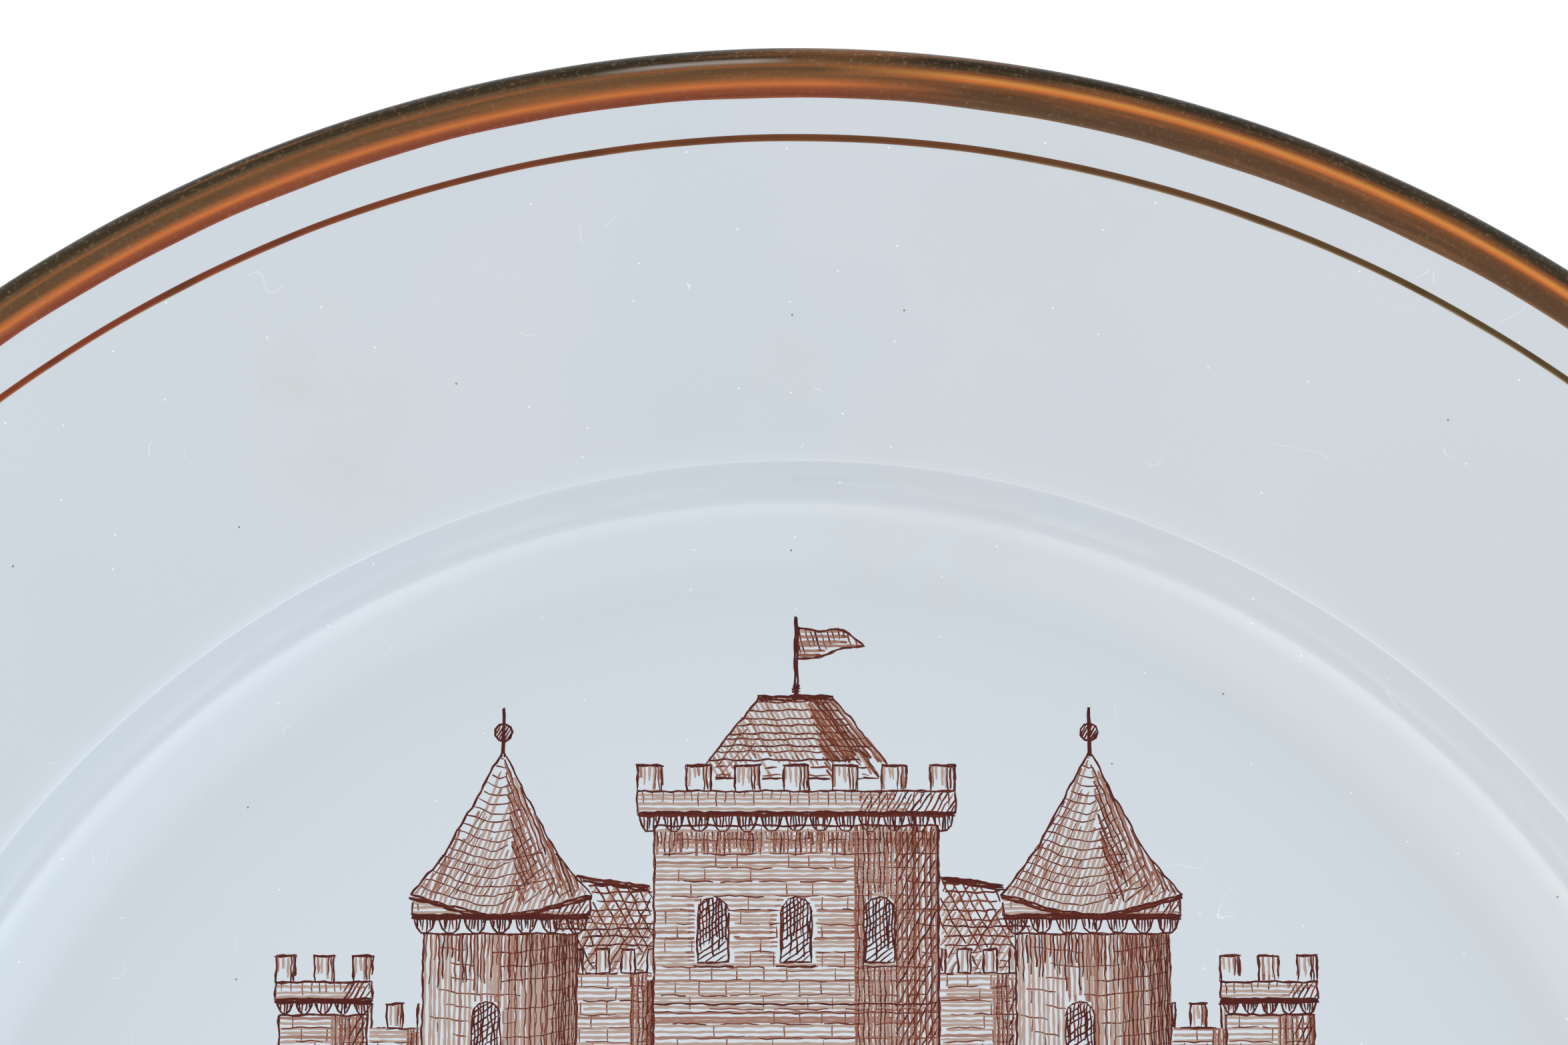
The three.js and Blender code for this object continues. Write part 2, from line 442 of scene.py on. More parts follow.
# %% [markdown]
# ## Porcelain under clear glaze
#
# Hard-paste porcelain is a cool white clay, fired until it is nearly glass, under a clear glaze.
# To the eye it is a bright, slightly blue white with a sharp thin reflection on top. Up close it
# isn't perfect: the glaze pools and thins in soft clouds, the spinning tool leaves faint rings,
# old handling leaves a few beige smudges, and the kiln drops a speck of ash here and there. The
# well is painted a little whiter than the rim, painted light that stands in for the brighter
# light on the floor of the well. The glaze is a hard, clear glass, and glass starts at an index
# of refraction of about 1.5. It is 1.6 here, matched to how strongly the plate mirrors the light
# round it.
#
# Patterns are measured in the plate's own coordinates, so a scale of 1000 / size gives a pattern
# whose features are about that many millimetres wide.

# %% Glaze colour
glaze, tree, shader = finish_of("porcelain_under_clear_glaze", ior=1.6, roughness=0.1)
FLAT = (1.0, 1.0, 0.0)  # times a place, this leaves its height out

place = node(tree, "TexCoord").outputs["Object"]
flat_place = node(tree, "VectorMath", {0: place, 1: FLAT}, operation="MULTIPLY")
distance_out = node(tree, "VectorMath", {0: flat_place}, operation="LENGTH")

cool_white = linear("#C7CED6")
milky_white = linear("#CAD0D7")
painted_light_well_white = linear("#D0D8E0")
clouds = node(tree, "TexNoise", {"Vector": place, "Scale": 1000 / 34, "Detail": 3})
thick = node(tree, "MapRange", {"Value": clouds, "From Min": 0.35, "From Max": 0.65})
colour = node(
    tree, "Mix", {"Factor": thick, "A": cool_white, "B": milky_white}, data_type="RGBA"
)
# Painted light: inside the well the glaze is painted whiter, standing in for the brighter light on
# its floor.
in_well = node(
    tree,
    "MapRange",
    {"Value": distance_out, "From Min": 91 * MM, "From Max": 84 * MM, "To Max": 0.85},
)
colour = node(tree, "Mix", {"Factor": in_well, "A": colour, "B": painted_light_well_white}, data_type="RGBA")
print("glaze: white", [round(c, 3) for c in cool_white[:3]])

# %% [markdown]
# Smudges are worn spots where hands and dust have left a beige veil. Each has a place and a size,
# and a noise breaks up its edge.

# %% Glaze smudges
SMUDGES = [(-46, 98, 7, 0.2), (-41, 90, 10, 0.17), (-1, 96, 4, 0.2), (22, 108, 14, 0.08)]
SMUDGES += [(61, -82, 12, 0.17), (-70, -66, 9, 0.2), (12, 84, 12, 0.1)]
smudge_colour = linear("#C0B9A0")

torn = node(
    tree, "TexNoise", {"Vector": place, "Scale": 1000 / 6, "Detail": 4, "Roughness": 0.55}
)
ragged = node(tree, "MapRange", {"Value": torn, "From Min": 0.36, "From Max": 0.7})
for x, y, size, strength in SMUDGES:
    middle = (x * MM, y * MM, 0.0)
    apart = node(tree, "VectorMath", {0: flat_place, 1: middle}, operation="DISTANCE")
    spot = node(
        tree,
        "MapRange",
        {"Value": apart, "From Min": size * MM, "From Max": size * MM * 0.3, "To Max": strength},
    )
    veil = node(tree, "Math", {0: spot, 1: ragged}, operation="MULTIPLY")
    colour = node(
        tree, "Mix", {"Factor": veil, "A": colour, "B": smudge_colour}, data_type="RGBA"
    )
print("smudges:", len(SMUDGES))

# %% [markdown]
# Specks come from a cell pattern: a small disc at the middle of a few cells, dark for ash and
# white for pinholes.

# %% Glaze specks
SPECKS = [  # mm between cells, mm across, share of the cells with a speck, strength, colour
    (10, 0.2, 0.12, 0.75, "#6A5A4A"),
    (4.7, 0.17, 0.2, 0.8, "#F4F8FC"),
]

for cell, size, share, strength, hex_code in SPECKS:
    cells = node(
        tree,
        "TexVoronoi",
        {"Vector": flat_place, "Scale": 1000 / cell},
        voronoi_dimensions="2D",
    )
    reach = size / cell / 2
    disc = node(tree, "Math", {0: cells.outputs["Distance"], 1: reach}, operation="LESS_THAN")
    chance = node(tree, "SeparateColor", {"Color": cells.outputs["Color"]})
    chosen = node(tree, "Math", {0: chance, 1: 1 - share}, operation="GREATER_THAN")
    speck = node(tree, "Math", {0: disc, 1: chosen}, operation="MULTIPLY")
    seen = node(tree, "Math", {0: speck, 1: strength}, operation="MULTIPLY")
    colour = node(
        tree, "Mix", {"Factor": seen, "A": colour, "B": linear(hex_code)}, data_type="RGBA"
    )
print("kinds of speck:", len(SPECKS))

# %% [markdown]
# Fine scratches are thin places where a noise crosses its middle value, kept only inside patches
# so that they stay short.

# %% Glaze scratches
HAIR = 0.0012  # how near its middle value the noise has to be

winding = node(tree, "TexNoise", {"Vector": place, "Scale": 1000 / 11, "Detail": 2})
off_middle = node(tree, "Math", {0: winding, 1: 0.5}, operation="SUBTRACT")
away = node(tree, "Math", {0: off_middle}, operation="ABSOLUTE")
hair = node(tree, "Math", {0: away, 1: HAIR}, operation="LESS_THAN")
patches = node(tree, "TexNoise", {"Vector": place, "Scale": 1000 / 7, "Detail": 1})
in_patch = node(tree, "Math", {0: patches, 1: 0.66}, operation="GREATER_THAN")
short_hair = node(tree, "Math", {0: hair, 1: in_patch}, operation="MULTIPLY")
seen = node(tree, "Math", {0: short_hair, 1: 0.5}, operation="MULTIPLY")
scratched = linear("#EEF2F6")
colour = node(tree, "Mix", {"Factor": seen, "A": colour, "B": scratched}, data_type="RGBA")
tree.links.new(colour.outputs["Result"], shader.inputs["Base Color"])
print("nodes in the glaze so far:", len(tree.nodes))

# %% [markdown]
# The relief of the glaze: the rings that the profile tool left, a few hundredths of a millimetre
# high and some millimetres apart, and the faint orange peel of melted glass. Both are too shallow
# to change the outline, so they go into the bump of the material.

# %% Glaze relief
ring_place = node(tree, "CombineXYZ", {"X": distance_out})
rings = node(tree, "TexNoise", {"Vector": ring_place, "Scale": 1000 / 6.5, "Detail": 2})
peel = node(tree, "TexNoise", {"Vector": place, "Scale": 1000 / 3, "Detail": 2})
ring_height = node(tree, "Math", {0: rings, 1: 0.6}, operation="MULTIPLY")
peel_height = node(tree, "Math", {0: peel, 1: 0.4}, operation="MULTIPLY")
relief = node(tree, "Math", {0: ring_height, 1: peel_height}, operation="ADD")
bump = node(tree, "Bump", {"Strength": 0.16, "Distance": 0.00012, "Height": relief})
tree.links.new(bump.outputs["Normal"], shader.inputs["Normal"])
dulled = node(tree, "TexNoise", {"Vector": place, "Scale": 1000 / 16, "Detail": 3})
gloss = node(
    tree,
    "MapRange",
    {"Value": dulled, "From Min": 0.35, "From Max": 0.7, "To Min": 0.08, "To Max": 0.16},
)
tree.links.new(gloss.outputs["Result"], shader.inputs["Roughness"])
print("nodes in the glaze:", len(tree.nodes))

# %% [markdown]
# The land of the foot ring is wiped clean of glaze before the firing, or the plate would weld
# itself to the kiln shelf. What shows there is biscuit: dry, warmer and matt, a little grey from
# standing on tables.

# %% Biscuit foot
biscuit, tree, shader = finish_of("bare_biscuit", ior=1.5, roughness=0.85)
place = node(tree, "TexCoord").outputs["Object"]
stains = node(
    tree, "TexNoise", {"Vector": place, "Scale": 1000 / 2.5, "Detail": 6, "Roughness": 0.7}
)
stained = node(tree, "MapRange", {"Value": stains, "From Min": 0.4, "From Max": 0.65})
clean_clay = linear("#DDD6C8")
grey_clay = linear("#A79E90")
wear_and_painted_highlight = node(tree, "Mix", {"Factor": stained, "A": clean_clay, "B": grey_clay}, data_type="RGBA")
tree.links.new(wear_and_painted_highlight.outputs["Result"], shader.inputs["Base Color"])
grains = node(tree, "TexNoise", {"Vector": place, "Scale": 1000 / 0.5, "Detail": 4})
grit = node(tree, "Bump", {"Strength": 0.5, "Distance": 0.0001, "Height": grains})
tree.links.new(grit.outputs["Normal"], shader.inputs["Normal"])

body.data.materials.append(glaze)
body.data.materials.append(biscuit)
bare_faces = 0
for face in body.data.polygons:
    radius = math.hypot(face.center.x, face.center.y)
    on_foot = (foot_inner - 0.3) * MM < radius < (foot_outer + 0.3) * MM
    if on_foot and face.center.z < 0.12 * MM:
        face.material_index = 1
        bare_faces += 1
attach(body, "root")
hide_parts("plate_body")
print("faces left bare:", bare_faces)

# %% [markdown]
# ## The gilded lip
#
# Liquid gold is laid with a brush while the plate turns on a banding wheel, from under the lip
# up and over to a line some five millimetres in. The outer edge is steady, the inner one follows
# the hand, so it wanders by a tenth of a millimetre or two. The layer is thin: here it stands
# 0.035 mm proud and both of its edges dip under the glaze, so no gap shows.

# %% Gold band shape
BAND_INNER = 120.05
BAND_WANDERS = 0.16
BAND_PROUD = 0.035
EDGES_SUNK = 0.03  # how far the edges of gold dip under the glaze
WRAP = -30  # degrees below level where the band ends under the lip


def hand(angle, seed, size):
    """How far a brush wanders at an angle round the plate: slow waves that meet at the seam."""
    waves = ((3, 0.45), (7, 0.3), (16, 0.22), (37, 0.16), (71, 0.1))
    return size * sum(
        share * math.sin(count * angle + seed * (2.3 + 1.7 * count)) for count, share in waves
    )


def proud(line, height):
    """A line of section points moved off the surface, with both ends sunk into it."""
    moved = []
    for i, point in enumerate(line):
        before = line[max(i - 1, 0)]
        after = line[min(i + 1, len(line) - 1)]
        way = (after - before).normalized()
        lift = -EDGES_SUNK if i in (0, len(line) - 1) else height
        moved.append(Vector((point.x + way.y * lift, point.y - way.x * lift)))
    return moved


over_lip = arc(lip_centre, LIP_ROUND, WRAP, 90 + lip_slope, 28)


def band_section(angle):
    """The band's section at an angle: over the lip, then along the rim to the painted edge."""
    edge = BAND_INNER + hand(angle, 1.0, BAND_WANDERS)
    shares = (0.08, 0.2, 0.4, 0.6, 0.8, 0.9, 0.97, 1.0)
    along_rim = [rim_point(rim_end.x + (edge - rim_end.x) * share) for share in shares]
    return proud(over_lip + along_rim, BAND_PROUD)


band = lathe("gold_lip_band", band_section, turns=720, closed=True)
print("gold_lip_band:", len(band.data.polygons), "faces")

# %% [markdown]
# Inside the band runs a single stroke of a fine brush, about half a millimetre wide, whose width
# breathes with the paint in the brush.

# %% Gold line shape
LINE_MIDDLE = 116.5
LINE_WIDTH = 0.66
LINE_PROUD = 0.03


def line_section(angle):
    """The thin line's section at an angle."""
    middle = LINE_MIDDLE + hand(angle, 2.0, 0.06)
    half = LINE_WIDTH / 2 * (1 + hand(angle, 3.0, 0.12))
    line = [rim_point(middle + half * share) for share in (1, 0.8, 0, -0.8, -1)]
    return proud(line, LINE_PROUD)


hairline = lathe("gold_hairline", line_section, turns=720, closed=True)
print("gold_hairline:", len(hairline.data.polygons), "faces")

# %% [markdown]
# ## Burnished gold
#
# Fired gold is matt until it is rubbed with an agate. Rubbing leaves streaks that run round the
# plate. The olive brown of the outermost edge is a painted reflection of the dark surroundings,
# and the bright copper streak across the band a painted reflection of a light, both laid into
# the colour. A metal has no colour apart from its reflection, so the colour goes into the base
# colour and the index of refraction is left alone.
#
# The pattern is laid out in polar coordinates: distance from the plate's edge and angle. A noise
# that is 0.2 mm wide and many millimetres long makes the streaks.

# %% Streaks in the gold
GOLD_STARTS = 124.25  # the radius that distances from the edge are measured from
STREAK_PER_RADIAN = 0.0045  # metres of pattern: less of it makes the streaks longer

gold, tree, shader = finish_of("burnished_gold", metallic=1.0, roughness=0.3)
place = node(tree, "TexCoord").outputs["Object"]
parts = node(tree, "SeparateXYZ", {0: place})
flat_place = node(tree, "VectorMath", {0: place, 1: FLAT}, operation="MULTIPLY")
distance_out = node(tree, "VectorMath", {0: flat_place}, operation="LENGTH")
from_edge = node(tree, "Math", {0: GOLD_STARTS * MM, 1: distance_out}, operation="SUBTRACT")
angle = node(
    tree, "Math", {0: parts.outputs["Y"], 1: parts.outputs["X"]}, operation="ARCTAN2"
)
along = node(tree, "Math", {0: angle, 1: STREAK_PER_RADIAN}, operation="MULTIPLY")
polar = node(tree, "CombineXYZ", {"X": distance_out, "Y": along, "Z": parts.outputs["Z"]})
streaks = node(
    tree, "TexNoise", {"Vector": polar, "Scale": 1000 / 0.24, "Detail": 3, "Roughness": 0.6}
)
broad_streaks = node(tree, "TexNoise", {"Vector": polar, "Scale": 1000 / 0.9, "Detail": 2})
print("gold is measured from", GOLD_STARTS, "mm inwards")

# %% [markdown]
# Across the band the colour goes from a dark brown edge through copper to duller gold inside.
# The dark edge and the bright copper streak are painted reflections. A ramp of colours by
# distance from the edge holds that, one for the left side of the plate and one for the right,
# where the painted reflection lies at another distance from the edge.

# %% Bands of gold
GOLD_LIFT = 2.0  # how much brighter the metal is than the colours picked for it
BANDS_END = 5  # mm from the edge at the far end of both ramps
# Gold colours with painted reflections: the dark first stops are a painted reflection of dark
# surroundings, the brightest copper stop a painted reflection of a light.
LEFT_GOLD_AND_REFLECTIONS = [
    (0.0, "#14110D"), (0.8, "#2E271D"), (1.15, "#55412F"), (1.4, "#7C4D2F"), (1.65, "#55402C"),
    (2.35, "#5C412D"), (3.02, "#B86838"), (3.4, "#84472F"), (4.0, "#6A372A"), (4.9, "#6E4838"),
]
RIGHT_GOLD_AND_REFLECTIONS = [
    (0.0, "#14110D"), (0.95, "#30271C"), (1.28, "#74442A"), (1.65, "#F87E40"), (1.9, "#B86634"),
    (2.2, "#70452A"), (2.7, "#543A2A"), (3.6, "#503B2D"), (4.2, "#5C4635"), (4.9, "#705844"),
]

share_across = node(tree, "Math", {0: from_edge, 1: BANDS_END * MM}, operation="DIVIDE")
sides_of_band = []
for stops in (LEFT_GOLD_AND_REFLECTIONS, RIGHT_GOLD_AND_REFLECTIONS):
    ramp = node(tree, "ValToRGB", {"Fac": share_across})
    elements = ramp.color_ramp.elements
    while len(elements) < len(stops):
        elements.new(0.5)
    for element, (distance_mm, hex_code) in zip(elements, stops):
        element.position = distance_mm / BANDS_END
        element.color = linear(hex_code, lift=GOLD_LIFT)
    sides_of_band.append(ramp)
left_gold_and_reflection, right_gold_and_reflection = sides_of_band
# The painted reflection shifts across the band between the left and the right of the plate.
change = node(
    tree,
    "MapRange",
    {"Value": parts.outputs["X"], "From Min": 2 * MM, "From Max": 16 * MM},
)
colour = node(tree, "Mix", {"Factor": change, "A": left_gold_and_reflection, "B": right_gold_and_reflection}, data_type="RGBA")
print("stops on each side:", len(LEFT_GOLD_AND_REFLECTIONS), len(RIGHT_GOLD_AND_REFLECTIONS))

# %% [markdown]
# Over the bands lie dark streaks from the burnishing, broader coppery ones from the brush, one
# pale line near the top of the plate that is a painted highlight, and a fine speckle where the
# gold has thinned.

# %% Wear and a painted highlight in the gold
dark_share = node(
    tree, "MapRange", {"Value": streaks, "From Min": 0.42, "From Max": 0.7, "To Max": 0.34}
)
dark_gold = linear("#3A2C1E", GOLD_LIFT)
colour = node(tree, "Mix", {"Factor": dark_share, "A": colour, "B": dark_gold}, data_type="RGBA")
copper_share = node(
    tree, "MapRange", {"Value": broad_streaks, "From Min": 0.52, "From Max": 0.78, "To Max": 0.25}
)
copper = linear("#9C6238", GOLD_LIFT)
colour = node(tree, "Mix", {"Factor": copper_share, "A": colour, "B": copper}, data_type="RGBA")

PAINTED_HIGHLIGHT_LINE = [  # each: what is measured, mm where the painted highlight starts, mm where it is full
    (parts.outputs["X"], -19, -13),
    (parts.outputs["X"], 0, -4),
    (from_edge, 0.7, 0.95),
    (from_edge, 1.3, 1.05),
]
wear_and_painted_highlight = 0.6
for measured, starts, full in PAINTED_HIGHLIGHT_LINE:
    fade = node(
        tree, "MapRange", {"Value": measured, "From Min": starts * MM, "From Max": full * MM}
    )
    wear_and_painted_highlight = node(tree, "Math", {0: fade, 1: wear_and_painted_highlight}, operation="MULTIPLY")
# A painted highlight: a pale line on the lip where a reflection lies, painted into the gold's
# colour.
painted_highlight_metal = linear("#A09A96", 1.4)
colour = node(tree, "Mix", {"Factor": wear_and_painted_highlight, "A": colour, "B": painted_highlight_metal}, data_type="RGBA")

grainy = node(
    tree, "TexNoise", {"Vector": place, "Scale": 1000 / 0.4, "Detail": 4, "Roughness": 0.7}
)
speckle = node(
    tree, "MapRange", {"Value": grainy, "From Min": 0.55, "From Max": 0.78, "To Max": 0.35}
)
thinned = linear("#A58E70", 1.4)
colour = node(tree, "Mix", {"Factor": speckle, "A": colour, "B": thinned}, data_type="RGBA")
tree.links.new(colour.outputs["Result"], shader.inputs["Base Color"])
print("nodes in the gold so far:", len(tree.nodes))

# %% [markdown]
# The same streaks steer the gloss and the relief, because it is the rubbing that makes all three.

# %% Gloss of the gold
gloss = node(
    tree,
    "MapRange",
    {"Value": streaks, "From Min": 0.3, "From Max": 0.7, "To Min": 0.2, "To Max": 0.42},
)
tree.links.new(gloss.outputs["Result"], shader.inputs["Roughness"])
rubbed = node(tree, "Bump", {"Strength": 0.25, "Distance": 0.00004, "Height": streaks})
tree.links.new(rubbed.outputs["Normal"], shader.inputs["Normal"])
band.data.materials.append(gold)
print("nodes in the gold:", len(tree.nodes))

# %% [markdown]
# The thin line was painted more sparsely. It goes from rust red on the left of the plate to olive
# brown on the right, darker in patches where the brush was full, with a lighter inner fringe
# where the gold feathers out.

# %% Gold line colour
FRINGE_STARTS = 116.32
FRINGE_FULL = 116.16

thin_gold, tree, shader = finish_of("sparse_gold", metallic=1.0, roughness=0.34)
place = node(tree, "TexCoord").outputs["Object"]
parts = node(tree, "SeparateXYZ", {0: place})
flat_place = node(tree, "VectorMath", {0: place, 1: FLAT}, operation="MULTIPLY")
distance_out = node(tree, "VectorMath", {0: flat_place}, operation="LENGTH")
rightward = node(
    tree,
    "MapRange",
    {"Value": parts.outputs["X"], "From Min": -60 * MM, "From Max": 60 * MM},
)
rust_red = linear("#713826", 1.6)
olive_brown = linear("#50402B", 1.6)
colour = node(
    tree, "Mix", {"Factor": rightward, "A": rust_red, "B": olive_brown}, data_type="RGBA"
)
fringe = node(
    tree,
    "MapRange",
    {
        "Value": distance_out,
        "From Min": FRINGE_STARTS * MM,
        "From Max": FRINGE_FULL * MM,
        "To Max": 0.4,
    },
)
feathered = linear("#B3A383", 1.5)
colour = node(tree, "Mix", {"Factor": fringe, "A": colour, "B": feathered}, data_type="RGBA")
loads = node(tree, "TexNoise", {"Vector": place, "Scale": 1000 / 4, "Detail": 3})
loaded = node(
    tree, "MapRange", {"Value": loads, "From Min": 0.45, "From Max": 0.7, "To Max": 0.5}
)
full_brush = linear("#3E2E20", 1.7)
colour = node(tree, "Mix", {"Factor": loaded, "A": colour, "B": full_brush}, data_type="RGBA")
tree.links.new(colour.outputs["Result"], shader.inputs["Base Color"])
hairline.data.materials.append(thin_gold)
print("nodes in the thin line:", len(tree.nodes))

for piece, cad_node in ((band, "gilt_edge_band"), (hairline, "gilt_hairline")):
    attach(piece, "root")
    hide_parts(cad_node)

# %% [markdown]
# ## The pen
#
# The castle is drawn on the fired glaze with a steel pen dipped in ground enamel, then fired
# again. The pen leaves a raised line 0.15 to 0.3 mm wide that wavers, thickens where the pen
# rests, and lightens as it runs dry. A decorator would need an afternoon. Here a stroke is a list
# of points in millimetres on the floor of the well, x to the right and y up, with a tone and a
# width, and small helpers draw what a hand draws again and again: a line, a curve, a hatching.

# %% Pen strokes
STEP = 0.62  # mm between the points of a stroke
CORNERS_OF_A_CURVE = 9  # a shape with more corners than this is a curved one
FADED, PALE, THIN, MIDDLE, FULL, DEEP, DARKEST = range(7)

pen = random.Random(11)
drawn = []
subject = "keep"


def evenly(points, spacing):
    """Points at an even spacing along a line, with both of its ends."""
    points = np.array(points, float)
    runs = np.hypot(*np.diff(points, axis=0).T)
    reach = np.concatenate(([0.0], np.cumsum(runs)))
    places = np.linspace(0, reach[-1], max(2, round(reach[-1] / spacing) + 1))
    return np.column_stack([np.interp(places, reach, points[:, axis]) for axis in (0, 1)])


def stroke(points, tone=FULL, width=0.24, shake=0.055):
    """Draws one wavering stroke through points."""
    line = evenly(points, STEP)
    travel = np.arange(len(line)) * STEP
    for axis in (0, 1):
        for wave in (1.9, 5.2):
            phase = pen.uniform(0, 2 * math.pi)
            waver = travel * 2 * math.pi / wave / pen.uniform(0.8, 1.3)
            line[:, axis] += shake * np.sin(waver + phase)
    drawn.append((subject, line, tone, width * pen.uniform(0.88, 1.14)))


def bent(points, steps=7):
    """A smooth curve through points."""
    points = [Vector(point) for point in points]
    points = [2 * points[0] - points[1], *points, 2 * points[-1] - points[-2]]
    curve = []
    for a, b, c, d in zip(points, points[1:], points[2:], points[3:]):
        for i in range(steps):
            t = i / steps
            curve.append(
                tuple(
                    0.5
                    * (
                        2 * b
                        + (c - a) * t
                        + (2 * a - 5 * b + 4 * c - d) * t**2
                        + (3 * b - a - 3 * c + d) * t**3
                    )
                )
            )
    return [*curve, tuple(points[-2])]


def outline(points, tone=DEEP, width=0.3):
    """Draws round a shape: a stroke for each side, or one stroke round a curved shape."""
    if len(points) > CORNERS_OF_A_CURVE:
        stroke([*points, points[0]], tone, width)
        return
    for start, end in zip(points, points[1:] + points[:1]):
        stroke([start, end], tone, width)


print("a pen with a point every", STEP, "mm")

# %% [markdown]
# What is in front hides what is behind. The drawing is made from the back to the front, and each
# nearer mass first clears its own outline of strokes. Whether a point is inside an outline is
# found by counting how many sides a level line to its right crosses.

# %% Clearing and hatching
def inside(shape, points):
    """Which points are inside a shape."""
    x, y = points[:, 0], points[:, 1]
    within = np.zeros(len(points), bool)
    for (x0, y0), (x1, y1) in zip(shape, shape[1:] + shape[:1]):
        if y0 != y1:
            crosses = (y0 > y) != (y1 > y)
            within ^= crosses & (x < x0 + (y - y0) * (x1 - x0) / (y1 - y0))
    return within


def clear(shape):
    """Takes away what has been drawn inside a shape."""
    covered = inside(shape, np.concatenate([line for _, line, _, _ in drawn] or [np.zeros((0, 2))]))
    kept = []
    start_of_line = 0
    for owner, line, tone, width in drawn:
        outside = ~covered[start_of_line : start_of_line + len(line)]
        start_of_line += len(line)
        if outside.all():
            kept.append((owner, line, tone, width))
            continue
        edges = np.flatnonzero(np.diff(np.concatenate(([0], outside.astype(int), [0]))))
        for start, end in edges.reshape(-1, 2):
            if end - start > 1:
                kept.append((owner, line[start:end], tone, width))
    drawn[:] = kept


def hatch(shape, slant, spacing, tone=MIDDLE, width=0.24, reach=(0.9, 1.0), shake=0.05):
    """Fills a shape with lines at a slant. Each is drawn over a random share of its length."""
    c, s = math.cos(math.radians(slant)), math.sin(math.radians(slant))
    level_shape = [(x * c + y * s, y * c - x * s) for x, y in shape]
    lowest, highest = min(v for _, v in level_shape), max(v for _, v in level_shape)
    level = lowest + spacing * pen.uniform(0.3, 0.9)
    while level < highest:
        ends = sorted(
            u0 + (level - v0) * (u1 - u0) / (v1 - v0)
            for (u0, v0), (u1, v1) in zip(level_shape, level_shape[1:] + level_shape[:1])
            if (v0 > level) != (v1 > level)
        )
        for start, end in zip(ends[::2], ends[1::2]):
            length = (end - start) * pen.uniform(*reach)
            tilt = pen.uniform(-0.12, 0.12) * min(spacing, 0.6)
            if length > 0.35:
                shade = min(DARKEST, max(FADED, tone + pen.choice((-1, 0, 0, 0, 1))))
                a = (start * c - level * s, start * s + level * c)
                far = start + length
                b = (far * c - (level + tilt) * s, far * s + (level + tilt) * c)
                stroke([a, b], shade, width, shake)
        level += spacing * pen.uniform(0.75, 1.28)


def wash(shape, slant=-82, tone=FADED, reach=(0.7, 1.0)):
    """A thin film of enamel over a shape, laid in broad strokes side by side."""
    hatch(shape, slant, 0.44, tone, 0.5, reach, shake=0.02)


def mass(shape, tone=DEEP, width=0.3):
    """A mass that hides what is behind it, with its outline gone over twice in places."""
    clear(shape)
    outline(shape, tone, width)
    outline(shape, FULL, 0.2)


print("tones from", FADED, "to", DARKEST)

# %% [markdown]
# ## Parts of a castle
#
# A castle in a pen drawing is a kit of parts: roofs with courses of slates, dark edges, arched
# windows, slits, cones and finials. Each is a few calls of the pen. The castle is nobody's in
# particular, built from these parts.

# %% Roofs and edges
def tiles(shape, slant, spacing=0.78, cross=0.0, cross_slant=-60, tone=FULL):
    """Courses of tiles along a roof, with a crossing hatch where it is in shade."""
    wash(shape, cross_slant, FADED, reach=(0.6, 1.0))
    hatch(shape, slant, spacing, tone, 0.26, reach=(0.82, 1.0), shake=0.06)
    if cross:
        hatch(shape, cross_slant, cross, MIDDLE, 0.25, reach=(0.5, 1.0), shake=0.06)


def dark_edge(points, depth=0.5):
    """A thick uneven line of several strokes, for eaves and verges."""
    for lift in (0.0, 0.16, 0.3, depth * 0.8):
        shifted = [(x + pen.uniform(-0.05, 0.05), y - lift) for x, y in points]
        stroke(shifted, pen.choice((DEEP, DEEP, FULL)), 0.3)


print("roofs ready")

# %% [markdown]
# Openings are the darkest marks in such a drawing, so they are hatched twice, once upright and
# once aslant. A cone is a roof whose courses curve round it.

# %% Openings, finials and cones
def window(x, y, wide, tall):
    """An arched window with bars and a sill; x is its middle and y its sill."""
    half = wide / 2
    arch = [
        (x + half * math.cos(a), y + tall - half + half * math.sin(a))
        for a in np.linspace(0, math.pi, 7)
    ]
    shape = [(x - half, y), (x + half, y), *arch[1:-1], (x - half, y + tall - half)]
    shape.insert(2, (x + half, y + tall - half))
    mass(shape, DEEP, 0.22)
    hatch(shape, -90, 0.3, DEEP, 0.24, reach=(0.55, 1.0))
    hatch(shape, 35, 0.5, DARKEST, 0.2)
    stroke([(x - half - 0.4, y - 0.35), (x + half + 0.4, y - 0.35)], DEEP, 0.28)
    stroke([(x - half - 0.3, y - 0.75), (x + half + 0.3, y - 0.75)], MIDDLE, 0.16)


def slit(x, y, tall):
    """A narrow opening."""
    for shift in (-0.16, 0.0, 0.16):
        stroke([(x + shift, y), (x + shift, y + tall)], DARKEST, 0.24)


def ball_finial(x, foot, tip, size):
    """A ball on a stem."""
    for lean in (-0.1, 0.12):
        stroke([(x + lean, foot), (x + lean * 0.3, tip)], DEEP, 0.3, 0.03)
    ball = [
        (x + size * math.cos(a), foot + (tip - foot) * 0.5 + size * math.sin(a))
        for a in np.linspace(0, 6.3, 12)
    ]
    stroke(ball, DEEP, 0.28, 0.02)
    hatch(ball[:-1], 60, 0.24, DEEP, 0.26, shake=0.02)


